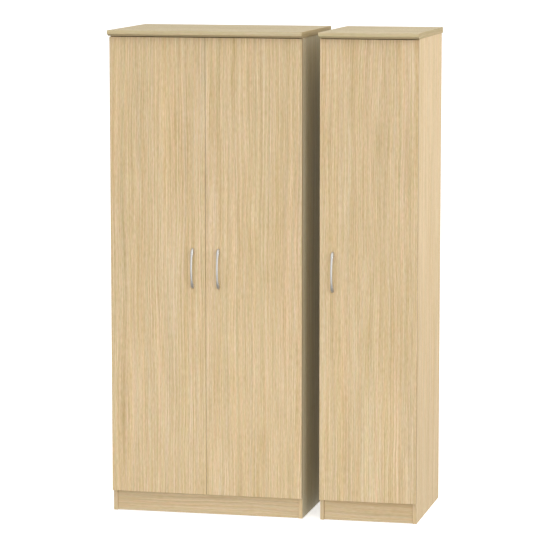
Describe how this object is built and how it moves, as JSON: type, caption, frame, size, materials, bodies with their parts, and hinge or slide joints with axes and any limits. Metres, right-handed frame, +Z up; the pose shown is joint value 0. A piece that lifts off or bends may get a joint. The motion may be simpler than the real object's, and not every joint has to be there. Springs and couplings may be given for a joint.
{
  "type": "wardrobe with doors",
  "caption": "Wardrobe cabinets in light oak board, a wide one beside a narrow one, with slab doors, bow handles, hat shelves and hanging rails.",
  "frame": {"origin": "on the floor, under the middle of the pair's bounding box", "axes": "+X to the right seen from the front, +Y to the back, +Z up; the doors face -Y"},
  "size_m": [1.179, 0.545, 1.83],
  "materials": {
    "oak_laminate": "satin light-oak wood-effect board",
    "backing_board": "matt printed hardboard",
    "handle_nickel": "satin nickel",
    "rail_chrome": "bright chrome plate",
    "hinge_steel": "nickel-plated pressed steel",
    "screw_steel": "zinc-plated steel"
  },
  "bodies": {
    "cabinets": {"double_left_side": "oak_laminate", "double_right_side": "oak_laminate", "double_top": "oak_laminate", "double_base": "oak_laminate", "double_plinth": "oak_laminate", "double_back_panel": "backing_board", "double_shelf": "oak_laminate", "double_hanging_rail": "rail_chrome", "double_rail_socket_left": "rail_chrome", "double_rail_socket_right": "rail_chrome", "single_left_side": "oak_laminate", "single_right_side": "oak_laminate", "single_top": "oak_laminate", "single_base": "oak_laminate", "single_plinth": "oak_laminate", "single_back_panel": "backing_board", "single_shelf": "oak_laminate", "single_hanging_rail": "rail_chrome", "single_rail_socket_left": "rail_chrome", "single_rail_socket_right": "rail_chrome", "double_left_hinge_top_arm": "hinge_steel", "double_left_hinge_top_plate": "hinge_steel", "double_left_hinge_middle_arm": "hinge_steel", "double_left_hinge_middle_plate": "hinge_steel", "double_left_hinge_bottom_arm": "hinge_steel", "double_left_hinge_bottom_plate": "hinge_steel", "double_right_hinge_top_arm": "hinge_steel", "double_right_hinge_top_plate": "hinge_steel", "double_right_hinge_middle_arm": "hinge_steel", "double_right_hinge_middle_plate": "hinge_steel", "double_right_hinge_bottom_arm": "hinge_steel", "double_right_hinge_bottom_plate": "hinge_steel", "single_hinge_top_arm": "hinge_steel", "single_hinge_top_plate": "hinge_steel", "single_hinge_middle_arm": "hinge_steel", "single_hinge_middle_plate": "hinge_steel", "single_hinge_bottom_arm": "hinge_steel", "single_hinge_bottom_plate": "hinge_steel"},
    "double_left_door": {"double_left_door": "oak_laminate", "double_left_handle": "handle_nickel", "double_left_handle_screw_upper": "screw_steel", "double_left_handle_screw_lower": "screw_steel", "double_left_hinge_top_cup": "hinge_steel", "double_left_hinge_middle_cup": "hinge_steel", "double_left_hinge_bottom_cup": "hinge_steel"},
    "double_right_door": {"double_right_door": "oak_laminate", "double_right_handle": "handle_nickel", "double_right_handle_screw_upper": "screw_steel", "double_right_handle_screw_lower": "screw_steel", "double_right_hinge_top_cup": "hinge_steel", "double_right_hinge_middle_cup": "hinge_steel", "double_right_hinge_bottom_cup": "hinge_steel"},
    "single_door": {"single_door": "oak_laminate", "single_handle": "handle_nickel", "single_handle_screw_upper": "screw_steel", "single_handle_screw_lower": "screw_steel", "single_hinge_top_cup": "hinge_steel", "single_hinge_middle_cup": "hinge_steel", "single_hinge_bottom_cup": "hinge_steel"}
  },
  "joints": [
    {"name": "double_left_door_hinge", "type": "hinge", "parent": "cabinets", "child": "double_left_door", "pos_m": [-0.5825, -0.2395, 0.942], "axis": [0, 0, -1], "range_deg": [0, 110]},
    {"name": "double_right_door_hinge", "type": "hinge", "parent": "cabinets", "child": "double_right_door", "pos_m": [0.1465, -0.2395, 0.942], "axis": [0, 0, 1], "range_deg": [0, 110]},
    {"name": "single_door_hinge", "type": "hinge", "parent": "cabinets", "child": "single_door", "pos_m": [0.5825, -0.2395, 0.942], "axis": [0, 0, 1], "range_deg": [0, 110]}
  ]
}
